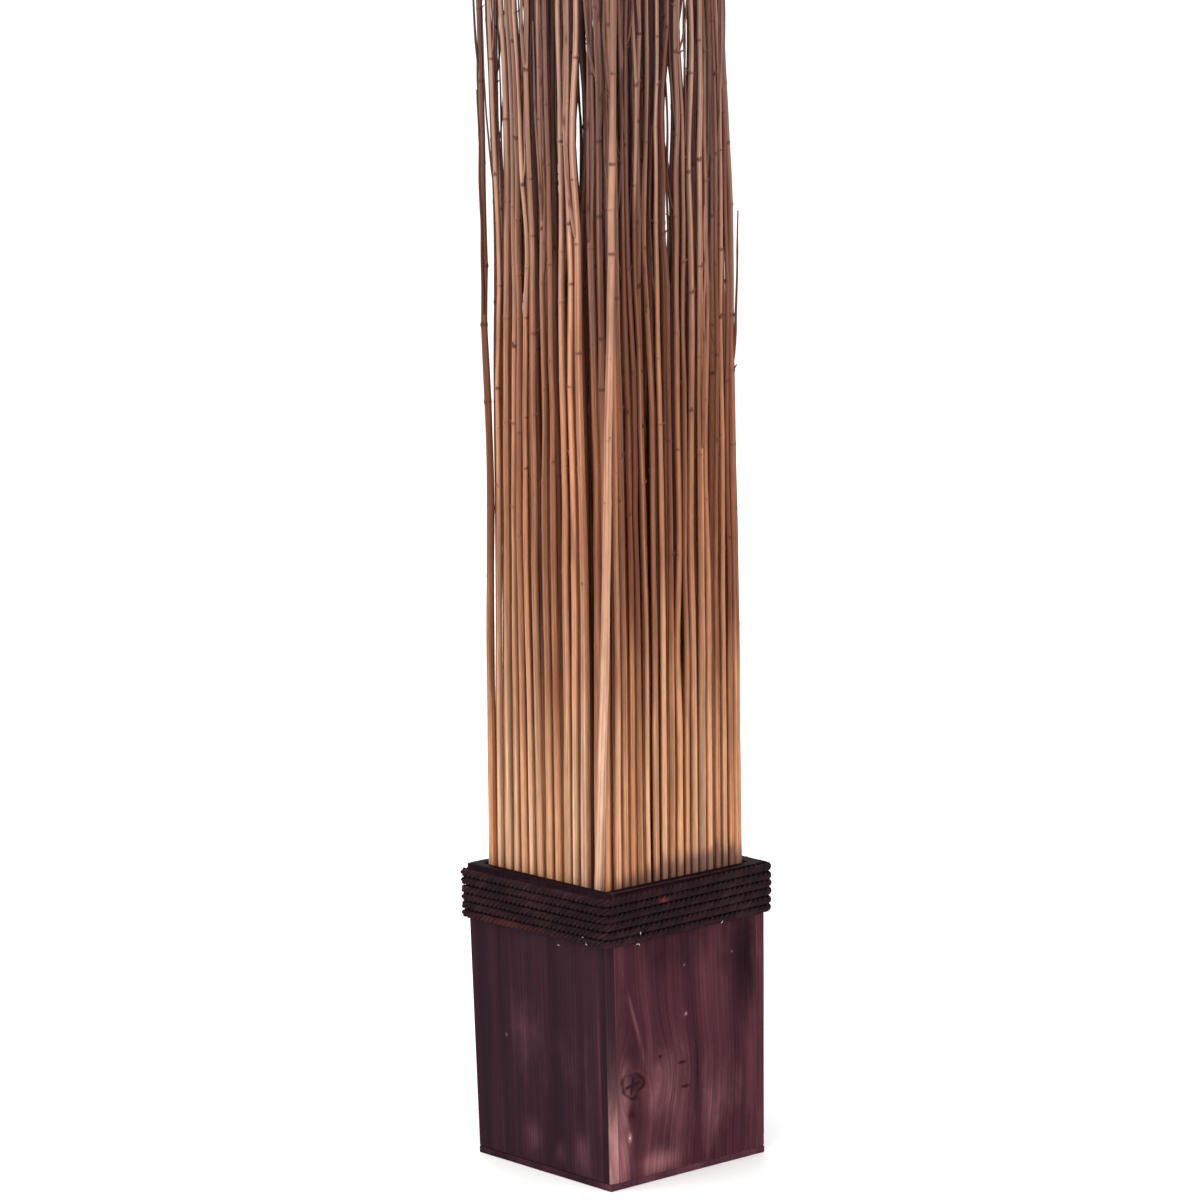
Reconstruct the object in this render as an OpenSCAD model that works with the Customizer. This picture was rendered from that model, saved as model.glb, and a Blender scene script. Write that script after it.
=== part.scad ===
// Tall bundle of dried sticks standing in a square wooden pot with a rope-wrapped rim.
// Origin: centre of the pot's underside. +Z up. -Y is the front, +X the right.

/* [Pot] */
// Outer width of the square pot at its rim
rim_w = 152; // [120:1:200]
// Outer width of the square pot at its underside
base_w = 147; // [116:1:200]
// Height of the pot from the underside to the rim
pot_h = 216; // [180:1:300]
// Thickness of the four side boards
board_t = 8; // [6:0.5:14]
// Thickness of the bottom panel
bottom_t = 5; // [3:0.5:12]

/* [Rope] */
// Diameter of the twisted rope
rope_d = 6; // [4:0.2:10]
// Number of turns wrapped under the rim
rope_turns = 6; // [3:1:8]

/* [Filling] */
// Height of the cast ballast block
ballast_h = 40; // [20:1:60]
// Height of the foam slab that the sticks stand on
foam_base_h = 60; // [30:1:80]
// Distance from the rim down to the top of the foam core
core_drop = 14; // [5:1:30]

/* [Sticks] */
// Height of the whole object, to the tip of its tallest stick
total_h = 1200; // [900:5:1500]
// Spacing of the outer sticks along the front and back
front_pitch = 8.6; // [7:0.1:12]
// Spacing of the outer sticks along the left and right sides
side_pitch = 6.9; // [6:0.1:12]
// Spacing of the sticks in the two rows behind
inner_pitch = 8.4; // [7:0.1:12]
// Length of the shortest sticks as a share of the tallest
shortest_share = 0.84; // [0.6:0.01:1]
// How far the whole bundle leans to the right, in millimetres per metre
lean_x = 6; // [-15:1:15]
// How far the whole bundle leans to the back, in millimetres per metre
lean_y = 7; // [-15:1:15]

/* [Fasteners] */
// Diameter of the headless brads
brad_d = 1.4; // [1:0.1:2]
// Length of the headless brads
brad_l = 22; // [15:1:30]
// Brads in each corner of the pot
brads_per_corner = 4; // [2:1:6]
// Wire diameter of the staples that hold the rope's two ends
staple_wire_d = 1.1; // [0.8:0.1:1.6]

/* [Hidden] */
$fn = 32;
SIDES = ["front", "right", "back", "left"];
OUTER_GROUPS = 3;
MIDDLE_GROUPS = 2;

// Clearances and small depths
drop_in_gap = 0.5;    // bundle to the inside of the pot, all round
fit_gap = 0.05;       // brads and staples in their holes
turn_gap = 0.06;      // between one turn of the rope and the next
filler_depth = 1.2;   // brad below the surface, filled and stained over
ballast_gap = 0.4;    // cast block to the boards, from shrinkage
row_gap = 0.3;        // between one row of sticks and the next
core_gap = 0.6;       // foam core to the innermost row
foot_gap = 0.4;       // glue between a stick's cut end and the foam slab
corner_room = 2.4;    // free space beside each corner stick

// The four sides of the pot lean out by the same amount
rim_half = rim_w / 2;
base_half = base_w / 2;
side_slope = (rim_half - base_half) / pot_h;
board_reach = board_t * sqrt(1 + side_slope * side_slope);
function outer_half(z) = base_half + side_slope * z;
function inner_half(z) = outer_half(z) - board_reach;

function clear_half(z) = min(inner_half(z), inner_half(pot_h)) - drop_in_gap;

ballast_top = bottom_t + ballast_h;
slab_top = ballast_top + foam_base_h;
core_top = pot_h - core_drop;

// Rope: each turn climbs by one rope diameter and a hair
rope_r = rope_d / 2;
turn_rise = rope_d + turn_gap;
rope_start_z = pot_h - rope_r - rope_turns * turn_rise;
rope_sides = 8;
rope_corner_steps = 3;
staple_x = 9;
staple_stop = 2;       // end of a staple's leg to the board's inner face

// Stick radius at the foot, as a share of the spacing, and at the tip, as a share of the foot
fat_share = 0.44;
thin_share = 0.31;
tip_share = 0.36;
corner_share = 0.455;

// Wander of a tip at full height: a slow wave across the bundle, and each stick's own
wave_reach = 6;
wave_length = 95;
own_reach = 2.6;

// Lean of the tall corner stick to the right and to the back, in millimetres per metre, and
// how far to the left of its corner it stands at the rim
corner_lean = [50, 12];
corner_set_back = 7;

// Most that any stick but the tall corner one leans, per millimetre that it rises, and the
// sideways room that this takes between the foam slab and the rim
steepest_lean =
    (1.5 * wave_reach + own_reach) / total_h + max(abs(lean_x), abs(lean_y)) / 1000;
rim_rise = pot_h - slab_top;
sway_room = steepest_lean * rim_rise;
corner_room_x = corner_set_back + corner_lean[0] * rim_rise / 1000;

// Rows of sticks, from the pot's wall inwards: half the width of the square they stand on
outer_max_r = fat_share * max(front_pitch, side_pitch);
inner_max_r = fat_share * inner_pitch;
outer_edge = min(clear_half(slab_top), clear_half(pot_h) - sway_room);
outer_line = outer_edge - outer_max_r;
middle_line = outer_line - outer_max_r - inner_max_r - row_gap;
inner_line = middle_line - 2 * inner_max_r - row_gap;
core_half = inner_line - inner_max_r - core_gap - steepest_lean * (core_top - slab_top);
corner_space = 2 * outer_max_r + corner_room;

// ---------- pot ----------

// Board cross-section in its own plane, leaning out by the side slope
module leaning_profile(z0, z1) {
    polygon([
        [-outer_half(z0), z0], [-inner_half(z0), z0],
        [-inner_half(z1), z1], [-outer_half(z1), z1]
    ]);
}

// Face outline of a board: a trapezoid as wide as half_low at z0 and half_high at z1
module face_outline(half_low, half_high, z0, z1) {
    polygon([[-half_low, z0], [half_low, z0], [half_high, z1], [-half_high, z1]]);
}

// Square block whose four sides lean alike
module leaning_block(half_low, half_high, z0, z1) {
    intersection() {
        rotate([90, 0, 0])
            linear_extrude(rim_w * 2, center = true)
                face_outline(half_low, half_high, z0, z1);
        rotate([90, 0, 90])
            linear_extrude(rim_w * 2, center = true)
                face_outline(half_low, half_high, z0, z1);
    }
}

// Board facing -Y, standing on the bottom panel
module side_board(half_low, half_high) {
    intersection() {
        rotate([90, 0, 90])
            linear_extrude(rim_w * 2, center = true) leaning_profile(bottom_t, pot_h);
        rotate([90, 0, 0])
            linear_extrude(rim_w * 2, center = true)
                face_outline(half_low, half_high, bottom_t, pot_h);
    }
}

// Front and back boards are as wide as the pot
module wide_board() {
    side_board(outer_half(bottom_t), outer_half(pot_h));
}

// Left and right boards fit between the inner faces of the two wide ones
module narrow_board() {
    side_board(inner_half(bottom_t), inner_half(pot_h));
}

// Centre height of brad number i in a corner
function brad_z(i) = bottom_t + (pot_h - bottom_t) * (i + 0.5) / brads_per_corner;

// Brads through the front board into the ends of the two narrow boards
module front_corner_pins(radius) {
    for (i = [0 : brads_per_corner - 1], s = [-1, 1])
        translate([
            s * (outer_half(brad_z(i)) - board_t / 2),
            -outer_half(brad_z(i)) + filler_depth,
            brad_z(i)
        ])
            rotate([-90, 0, 0]) cylinder(h = brad_l, r = radius);
}

// Brads up through the bottom panel into the lower edges of the four boards
module bottom_pins(radius) {
    for (a = [0 : 90 : 270], s = [-1, 1])
        rotate(a)
            translate([s * base_half / 2, -outer_half(bottom_t) + board_t / 2, filler_depth])
                cylinder(h = brad_l, r = radius);
}

module board_holes() {
    front_corner_pins(brad_d / 2 + fit_gap);
    mirror([0, 1, 0]) front_corner_pins(brad_d / 2 + fit_gap);
    bottom_pins(brad_d / 2 + fit_gap);
}

module front_board() {
    color("#4a2c34") difference() {
        wide_board();
        board_holes();
    }
}

module back_board() {
    color("#4a2c34") difference() {
        rotate(180) wide_board();
        board_holes();
        staple_legs(staple_wire_d / 2 + fit_gap);
    }
}

module left_board() {
    color("#4a2c34") difference() {
        rotate(-90) narrow_board();
        board_holes();
    }
}

module right_board() {
    color("#5a3840") difference() {
        rotate(90) narrow_board();
        board_holes();
    }
}

module bottom_panel() {
    color("#5a3840") difference() {
        leaning_block(outer_half(0), outer_half(bottom_t), 0, bottom_t);
        bottom_pins(brad_d / 2 + fit_gap);
    }
}

module corner_brads() {
    color("silver") {
        front_corner_pins(brad_d / 2);
        mirror([0, 1, 0]) front_corner_pins(brad_d / 2);
    }
}

module bottom_brads() {
    color("silver") bottom_pins(brad_d / 2);
}

// Ballast cast in the pot, its sides leaning like the boards
module ballast_block() {
    color("#b9b4aa")
        leaning_block(
            inner_half(bottom_t) - ballast_gap, inner_half(ballast_top) - ballast_gap,
            bottom_t, ballast_top
        );
}

// Foam slab at the foot of the bundle
module foam_base() {
    color("#3f4a35")
        leaning_block(clear_half(ballast_top), clear_half(slab_top), ballast_top, slab_top);
}

// Foam core that the innermost row is glued round
module foam_core() {
    color("#3f4a35")
        translate([-core_half, -core_half, slab_top])
            cube([2 * core_half, 2 * core_half, core_top - slab_top]);
}

// ---------- rope ----------

// Turns of the rope done when it passes corner c of turn t; it starts and ends mid-back
function turns_done(t, c) = t + (c + 0.5) / 4;
function rope_z(done) = rope_start_z + turn_rise * done;

// One ring of the rope: its centre line is one radius out from the board or corner at this point
function rope_ring(corner, angle, z) = [
    for (k = [0 : rope_sides - 1])
        let(turn = 360 * (k + 0.5) / rope_sides, reach = rope_r * (1 + cos(turn)))
            [
                corner[0] + reach * cos(angle),
                corner[1] + reach * sin(angle),
                z + rope_r * sin(turn)
            ]
];

function rope_rings() = [
    rope_ring([0, outer_half(rope_z(0))], 90, rope_z(0)),
    for (t = [0 : rope_turns - 1], c = [0 : 3], j = [0 : rope_corner_steps])
        let(
            z = rope_z(turns_done(t, c)),
            diagonal = outer_half(z) * sqrt(2),
            corner = diagonal * [cos(135 + 90 * c), sin(135 + 90 * c)]
        )
            rope_ring(corner, 90 + 90 * c + 90 * j / rope_corner_steps, z),
    rope_ring([0, outer_half(rope_z(rope_turns))], 90, rope_z(rope_turns))
];

module rope_wrap() {
    rings = rope_rings();
    last = len(rings) - 1;
    color("#2b1c20")
        polyhedron(
            points = [for (ring = rings, point = ring) point],
            faces = [
                [for (k = [0 : rope_sides - 1]) k],
                for (i = [0 : last - 1], k = [0 : rope_sides - 1])
                    let(
                        a = i * rope_sides + k,
                        b = i * rope_sides + (k + 1) % rope_sides
                    )
                        each [
                            [a, a + rope_sides, b + rope_sides],
                            [a, b + rope_sides, b]
                        ],
                [for (k = [rope_sides - 1 : -1 : 0]) last * rope_sides + k]
            ]
        );
}

// Legs of the two staples: side -1 holds the rope's start, side 1 its end
module staple_legs(radius) {
    for (side = [-1, 1], leg = [-1, 1])
        let(z = rope_z(side < 0 ? 0 : rope_turns))
            translate([side * staple_x, outer_half(z) + rope_d, z + leg * rope_r / 2])
                rotate([90, 0, 0]) cylinder(h = rope_d + board_t - staple_stop, r = radius);
}

module staple_crowns(radius) {
    for (side = [-1, 1])
        let(z = rope_z(side < 0 ? 0 : rope_turns))
            translate([side * staple_x, outer_half(z) + rope_d, z - rope_r / 2 - radius])
                cylinder(h = rope_r + 2 * radius, r = radius);
}

module rope_staples() {
    color("silver") {
        staple_legs(staple_wire_d / 2);
        staple_crowns(staple_wire_d / 2);
    }
}

// ---------- sticks ----------

// Repeatable scatter from 0 to 1 for stick i, one value for each k
function scatter(i, k) = let(v = 863.7 * sin(31.7 * i + 83.3 * k + 7.9 * i * k)) v - floor(v);
function around_zero(i, k) = 2 * scatter(i, k) - 1;

// How far a tip at full height drifts because of where its foot stands
function wave(x, y) = wave_reach * [
    sin(360 * y / wave_length + 40) + 0.5 * sin(720 * x / wave_length),
    sin(360 * x / wave_length - 70) + 0.5 * sin(720 * y / wave_length + 130)
];

function quarter_turns(p, n) =
    n == 0 ? p : quarter_turns([-p[1], p[0]], n - 1);

// Foot of the stick at distance along from the start of a side, with its centre at depth
function foot_xy(side, along, line, depth) = quarter_turns([along - line, -depth], side);

// Sideways run of stick id for each millimetre that it rises
function stick_lean(id, foot) =
    [lean_x, lean_y] / 1000
    + wave(foot[0], foot[1]) / total_h
    + own_reach / total_h * [around_zero(id, 5), around_zero(id, 6)];

// A straight tapering stick standing on the foam slab
module stick(foot, r, lean, tip_z) {
    foot_z = slab_top + foot_gap;
    rise = tip_z - foot_z;
    run = lean * rise;
    reach = norm([run[0], run[1], rise]);
    translate([foot[0], foot[1], foot_z])
        rotate([0, acos(rise / reach), atan2(run[1], run[0])])
            cylinder(h = reach, r1 = r, r2 = r * tip_share);
}

function tip_height(id) =
    total_h * (shortest_share + (1 - shortest_share) * scatter(id, 3) * 0.97);

function outer_pitch(side) = side % 2 == 0 ? front_pitch : side_pitch;
function is_in_group(j, count, g, groups) = floor(j * groups / count) == g - 1;

// Outer sticks between one corner stick and the next; the front row also leaves room
// for the foot of the tall corner stick, which stands to the left of its corner
module outer_sticks(side, g) {
    pitch = outer_pitch(side);
    stretch = 2 * outer_line - corner_space - (side == 0 ? corner_room_x : 0);
    count = floor(stretch / pitch);
    spacing = stretch / count;
    color("#c8966e") {
        for (j = [0 : count - 1])
            if (is_in_group(j, count, g, OUTER_GROUPS)) {
                id = 100 * side + j + 1;
                r = pitch * (thin_share + (fat_share - thin_share) * scatter(id, 1));
                foot = foot_xy(
                    side, corner_space + j * spacing, outer_line,
                    outer_line + outer_max_r - r
                );
                stick(foot, r, stick_lean(id, foot), tip_height(id));
            }
        if (g == 1 && side != 1) corner_stick(side);
    }
}

// Stick in the corner where a side starts
module corner_stick(side) {
    r = corner_share * outer_pitch(side);
    depth = outer_line + outer_max_r - r;
    foot = quarter_turns([-depth, -depth], side);
    stick(foot, r, stick_lean(700 + side, foot), tip_height(700 + side));
}

// The longest stick stands in the front right corner and leans out of it
module tall_corner_stick() {
    r = corner_share * front_pitch;
    depth = outer_line + outer_max_r - r;
    color("#dcb088") stick([depth - corner_room_x, -depth], r, corner_lean / 1000, total_h);
}

// Sticks of one of the two rows behind
module row_sticks(side, line, row, g, groups) {
    count = floor(2 * line / inner_pitch);
    spacing = 2 * line / count;
    color("#a5714f")
        for (j = [0 : count - 1])
            if (is_in_group(j, count, g, groups)) {
                id = 1000 * row + 100 * side + j;
                r = inner_pitch * (thin_share + (fat_share - thin_share) * scatter(id, 1));
                foot = foot_xy(side, j * spacing, line, line);
                stick(foot, r, stick_lean(id, foot), tip_height(id));
            }
}

// ---------- assembly ----------

front_board();
back_board();
left_board();
right_board();
bottom_panel();
corner_brads();
bottom_brads();
rope_wrap();
rope_staples();
ballast_block();
foam_base();
foam_core();
tall_corner_stick();
for (side = [0 : 3]) {
    for (g = [1 : OUTER_GROUPS])
        outer_sticks(side, g);
    for (g = [1 : MIDDLE_GROUPS])
        row_sticks(side, middle_line, 1, g, MIDDLE_GROUPS);
    row_sticks(side, inner_line, 2, 1, 1);
}
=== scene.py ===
"""Looks of a tall bundle of dried sticks in a square, rope-wrapped wooden pot.

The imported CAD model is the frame: every place and size below is read from it, in metres.
The boards, the rope, the sticks, the foam and the cast ballast are rebuilt here in detail,
each one where its CAD solid stands. -Y is the front, +X the right, +Z up.
"""

import math

import bpy
import numpy as np
from mathutils import Matrix, Vector, noise


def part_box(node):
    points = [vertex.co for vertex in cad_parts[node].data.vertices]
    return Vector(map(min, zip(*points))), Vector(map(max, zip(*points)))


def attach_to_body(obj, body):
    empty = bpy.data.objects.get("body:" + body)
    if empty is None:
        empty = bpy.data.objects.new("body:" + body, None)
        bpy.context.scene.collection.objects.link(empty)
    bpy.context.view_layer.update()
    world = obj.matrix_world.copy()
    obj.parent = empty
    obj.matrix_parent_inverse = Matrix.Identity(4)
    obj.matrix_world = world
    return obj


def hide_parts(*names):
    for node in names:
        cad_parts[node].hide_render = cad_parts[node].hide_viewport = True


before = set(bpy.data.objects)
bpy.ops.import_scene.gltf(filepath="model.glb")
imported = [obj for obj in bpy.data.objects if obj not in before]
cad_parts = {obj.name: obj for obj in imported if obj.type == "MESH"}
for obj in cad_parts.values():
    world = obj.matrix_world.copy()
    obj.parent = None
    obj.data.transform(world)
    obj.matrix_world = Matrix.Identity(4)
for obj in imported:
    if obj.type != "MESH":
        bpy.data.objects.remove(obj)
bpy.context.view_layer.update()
MM = 0.001
FULL_TURN = 2 * math.pi

# ---------- places read from the frame ----------

RIM_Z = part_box("front_board")[1].z
RIM_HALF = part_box("front_board")[1].x
BASE_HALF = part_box("bottom_panel")[1].x
RIM_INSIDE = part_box("left_board")[1].y
TOP_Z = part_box("tall_corner_stick")[1].z
SIDES = ("front", "right", "back", "left")


# ---------- camera ----------

CAMERA_AT = Vector((2.705, -2.311, 1.009))
CAMERA_YAW = math.radians(49.6)  # turned from looking along +Y towards -X
CAMERA_DOWN = math.radians(9.6)
CAMERA_ROLL = math.radians(-1.3)
CAMERA_LENS = 151.7


def make_camera():
    """A long lens, turned to the pot's front right corner."""
    forward = Vector((
        -math.sin(CAMERA_YAW) * math.cos(CAMERA_DOWN),
        math.cos(CAMERA_YAW) * math.cos(CAMERA_DOWN),
        -math.sin(CAMERA_DOWN),
    ))
    right = forward.cross(Vector((0, 0, 1))).normalized()
    up = right.cross(forward)
    tilted_right = right * math.cos(CAMERA_ROLL) + up * math.sin(CAMERA_ROLL)
    tilted_up = up * math.cos(CAMERA_ROLL) - right * math.sin(CAMERA_ROLL)
    data = bpy.data.cameras.new("camera")
    data.sensor_width = 36
    data.lens = CAMERA_LENS
    data.clip_end = 100
    camera = bpy.data.objects.new("camera", data)
    turn = Matrix((tilted_right, tilted_up, -forward)).transposed()
    camera.matrix_world = Matrix.Translation(CAMERA_AT) @ turn.to_4x4()
    bpy.context.scene.collection.objects.link(camera)
    bpy.context.scene.camera = camera


make_camera()


# ---------- mesh building ----------

def cad_points(node):
    """Mesh points of a CAD node."""
    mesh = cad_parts[node].data
    points = np.zeros(len(mesh.vertices) * 3, np.float32)
    mesh.vertices.foreach_get("co", points)
    return points.reshape(-1, 3).astype(float)


class Soup:
    """Vertices, faces and point attributes gathered from many parts of one piece."""

    def __init__(self):
        self.points, self.quads, self.tris, self.values = [], [], [], {}
        self.count = 0

    def add(self, points, quads, tris=(), **values):
        points = np.asarray(points, float)
        self.points.append(points)
        self.quads.append(np.asarray(quads, int).reshape(-1, 4) + self.count)
        self.tris.append(np.asarray(tris, int).reshape(-1, 3) + self.count)
        for name, value in values.items():
            self.values.setdefault(name, []).append(np.asarray(value, float))
        self.count += len(points)

    def add_tube(self, points, **values):
        """A closed tube from the rings that tube_points() gives."""
        self.add(points.reshape(-1, 3), *tube_faces(*points.shape[:2]), **values)

    def build(self, name, material):
        """The finished mesh object, with every value as a point attribute."""
        points = np.concatenate(self.points)
        quads = np.concatenate(self.quads)
        tris = np.concatenate(self.tris)
        mesh = bpy.data.meshes.new(name)
        mesh.vertices.add(len(points))
        mesh.vertices.foreach_set("co", points.astype(np.float32).ravel())
        mesh.loops.add(quads.size + tris.size)
        corners = np.concatenate([quads.ravel(), tris.ravel()]).astype(np.int32)
        mesh.loops.foreach_set("vertex_index", corners)
        mesh.polygons.add(len(quads) + len(tris))
        starts = np.concatenate([
            np.arange(len(quads)) * 4, quads.size + np.arange(len(tris)) * 3
        ]).astype(np.int32)
        mesh.polygons.foreach_set("loop_start", starts)
        mesh.update(calc_edges=True)
        mesh.shade_smooth()
        for attribute, parts in self.values.items():
            value = np.concatenate(parts).astype(np.float32)
            kind, key = ("FLOAT", "value") if value.ndim == 1 else ("FLOAT_VECTOR", "vector")
            mesh.attributes.new(attribute, kind, "POINT").data.foreach_set(key, value.ravel())
        mesh.materials.append(material)
        piece = bpy.data.objects.new(name, mesh)
        bpy.context.scene.collection.objects.link(piece)
        return piece


def tube_faces(rings, sides):
    """Quads along a tube of so many rings, and the triangles of its two flat ends."""
    ring, side = np.meshgrid(np.arange(rings - 1), np.arange(sides), indexing="ij")
    ring, side = ring.ravel(), side.ravel()
    after = (side + 1) % sides
    quads = np.stack([
        ring * sides + side, ring * sides + after,
        (ring + 1) * sides + after, (ring + 1) * sides + side,
    ], axis=1)
    fan = np.arange(1, sides - 1)
    low = np.stack([np.zeros_like(fan), fan + 1, fan], axis=1)
    high = (rings - 1) * sides + np.stack([np.zeros_like(fan), fan, fan + 1], axis=1)
    return quads, np.concatenate([low, high])


ACROSS = np.array([1.0, 0.0, 0.0])
UP = np.array([0.0, 0.0, 1.0])


def unit(vectors):
    return vectors / np.linalg.norm(vectors, axis=-1, keepdims=True)


def angles(sides):
    """Evenly spaced angles round a ring, one for each side."""
    return FULL_TURN * np.arange(sides) / sides


def tube_points(centres, radii, across, sides):
    """Rings of a tube: radii has a row for each ring, with one value or one a side.

    The sides start in the direction across, which is one for the tube or one a ring.
    """
    along = unit(np.gradient(centres, axis=0))
    first = unit(across - along * (across * along).sum(1, keepdims=True))
    second = np.cross(along, first)
    angle = angles(sides)
    arm = first[:, None] * np.cos(angle)[:, None] + second[:, None] * np.sin(angle)[:, None]
    return centres[:, None] + arm * radii[:, :, None]


# ---------- material building ----------

def linear(red, green, blue):
    """A colour given as 0 to 255 on screen, as the linear values that shaders use."""
    def one(value):
        value /= 255
        return value / 12.92 if value <= 0.04045 else ((value + 0.055) / 1.055) ** 2.4
    return (one(red), one(green), one(blue), 1)


class Paint:
    """A Principled material and short calls for the nodes that drive it."""

    def __init__(self, name, **constants):
        self.material = bpy.data.materials.new(name)
        self.material.use_nodes = True
        self.tree = self.material.node_tree
        self.shader = self.tree.nodes["Principled BSDF"]
        for socket, value in constants.items():
            self.shader.inputs[socket.replace("_", " ")].default_value = value

    def put(self, socket, value):
        """Link a socket, or set a constant."""
        if isinstance(value, bpy.types.NodeSocket):
            self.tree.links.new(value, socket)
        else:
            socket.default_value = value

    def node(self, kind, *inputs, **settings):
        made = self.tree.nodes.new("ShaderNode" + kind)
        for key, value in settings.items():
            setattr(made, key, value)
        for slot, value in inputs:
            self.put(made.inputs[slot], value)
        return made

    def attribute(self, name, output="Fac"):
        return self.node("Attribute", attribute_name=name).outputs[output]

    def place(self):
        return self.node("TexCoord").outputs["Object"]

    def part(self, vector, axis):
        return self.node("SeparateXYZ", (0, vector)).outputs[axis]

    def noise(self, vector, scale, detail=3.0, rough=0.55, distortion=0.0):
        return self.node(
            "TexNoise", ("Vector", vector), ("Scale", scale), ("Detail", detail),
            ("Roughness", rough), ("Distortion", distortion),
        ).outputs["Fac"]

    def streaks(self, vector, scale, *settings, **named):
        """Noise with its own scale on each axis."""
        stretched = self.node("Mapping", (0, vector), ("Scale", scale)).outputs[0]
        return self.noise(stretched, 1.0, *settings, **named)

    def math(self, what, a, b=0.0):
        return self.node("Math", (0, a), (1, b), operation=what).outputs[0]

    def times(self, a, b):
        return self.math("MULTIPLY", a, b)

    def plus(self, a, b):
        return self.math("ADD", a, b)

    def swing(self, value, reach):
        """Noise round 0.5 as a swing either side of zero."""
        return self.times(self.math("SUBTRACT", value, 0.5), reach)

    def span(self, value, low, high, to_low=0.0, to_high=1.0):
        """Smoothly carry the range low to high onto another one."""
        return self.node(
            "MapRange", ("Value", value), ("From Min", low), ("From Max", high),
            ("To Min", to_low), ("To Max", to_high), interpolation_type="SMOOTHSTEP",
        ).outputs[0]

    def mix(self, share, a, b, blend="MIX"):
        made = self.node("Mix", data_type="RGBA", blend_type=blend)
        self.put(made.inputs[0], share)
        self.put(made.inputs[6], a)
        self.put(made.inputs[7], b)
        return made.outputs[2]

    def tint(self, colour, value):
        """Darken or lighten a colour by a factor."""
        grey = self.node("CombineColor", (0, value), (1, value), (2, value)).outputs[0]
        return self.mix(1.0, colour, grey, "MULTIPLY")

    def finish(self, colour, roughness, height, strength, depth):
        self.put(self.shader.inputs["Base Color"], colour)
        self.put(self.shader.inputs["Roughness"], roughness)
        bump = self.node("Bump", ("Height", height), ("Strength", strength), ("Distance", depth))
        self.put(self.shader.inputs["Normal"], bump.outputs[0])
        return self.material


# ---------- materials ----------

RING_SPACING = 3.8 * MM  # growth rings on the face of a board
YARNS = 7  # yarns round a strand of the rope
YARN_TWIST = 190.0  # turns of those yarns in a metre


def bark_paint(name, foot, middle, upper, dark=1.0):
    """Thin bark: pale at the foot, orange-brown above it and greyer towards the top; partly the
    bark's own colours, partly painted light at the foot and painted shade towards the top.

    Each pair of colours is for the palest and the brownest stick.
    """
    paint = Paint(name, Specular_IOR_Level=0.2)
    bark = paint.attribute("bark", "Vector")
    tone = paint.attribute("tone")
    rise = paint.attribute("rise")
    knuckle = paint.attribute("knuckle")

    blotch = paint.streaks(bark, (120, 120, 9), 4.0)
    # Colour by height: the bark's own colours, with painted light making the foot paler and painted
    # shade making the top greyer.
    zone = paint.plus(rise, paint.swing(blotch, 0.35))
    colour = paint.mix(paint.span(zone, 0.02, 0.24), paint.mix(tone, *foot),
                       paint.mix(tone, *middle))
    colour = paint.mix(paint.span(zone, 0.28, 0.60), colour, paint.mix(tone, *upper))

    flute = paint.streaks(bark, (560, 560, 3), 2.0)
    streak = paint.streaks(bark, (620, 620, 11), 3.0)
    mottle = paint.streaks(bark, (420, 420, 70), 3.0)
    shade = paint.times(paint.span(streak, 0.32, 0.68, 0.84, 1.10),
                        paint.span(mottle, 0.35, 0.7, 0.91, 1.08))
    shade = paint.times(shade, paint.span(flute, 0.38, 0.61, 0.64, 1.18))
    colour = paint.tint(colour, shade)

    patch_field = paint.streaks(bark, (62, 62, 5), 2.0, distortion=0.3)
    patch = paint.times(paint.span(patch_field, 0.56, 0.68),
                        paint.span(rise, 0.05, 0.35, 0.2, 0.85))
    colour = paint.mix(patch, colour, linear(100 * dark, 54 * dark, 38 * dark))
    scab = paint.plus(knuckle, paint.times(streak, 0.25))
    colour = paint.mix(paint.span(scab, 0.3, 0.85, 0.0, 0.8), colour,
                       linear(76 * dark, 40 * dark, 34 * dark))
    # The sticks are darkened round the pot's rim, most at the back of the right row.
    colour = paint.mix(rim_darkening(paint, bark), colour, linear(84, 58, 56))

    roughness = paint.span(streak, 0.3, 0.8, 0.45, 0.65)
    relief = paint.plus(flute, paint.times(streak, 0.6))
    return paint.finish(colour, roughness, relief, 0.35, 0.4 * MM)


def rim_darkening(paint, bark):
    """How much the sticks are darkened round the rim, most at the back of the right row."""
    x, y, z = (paint.part(paint.place(), axis) for axis in range(3))
    ragged = paint.streaks(bark, (160, 160, 30))
    right_row = paint.span(x, 0.80 * RIM_INSIDE, 0.90 * RIM_INSIDE)
    towards_back = paint.span(y, -0.95 * RIM_INSIDE, 0.2 * RIM_INSIDE, 0.3)
    reach = paint.times(paint.times(right_row, towards_back), 30 * MM)
    above = paint.math("SUBTRACT", z, paint.plus(paint.times(ragged, reach), RIM_Z))
    band = paint.span(z, RIM_Z - 16 * MM, RIM_Z - 4 * MM)
    band = paint.times(band, paint.span(reach, 0.0, 9 * MM, 0.3))
    return paint.times(paint.span(above, -8 * MM, 6 * MM, 0.74, 0.0), band)


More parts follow.
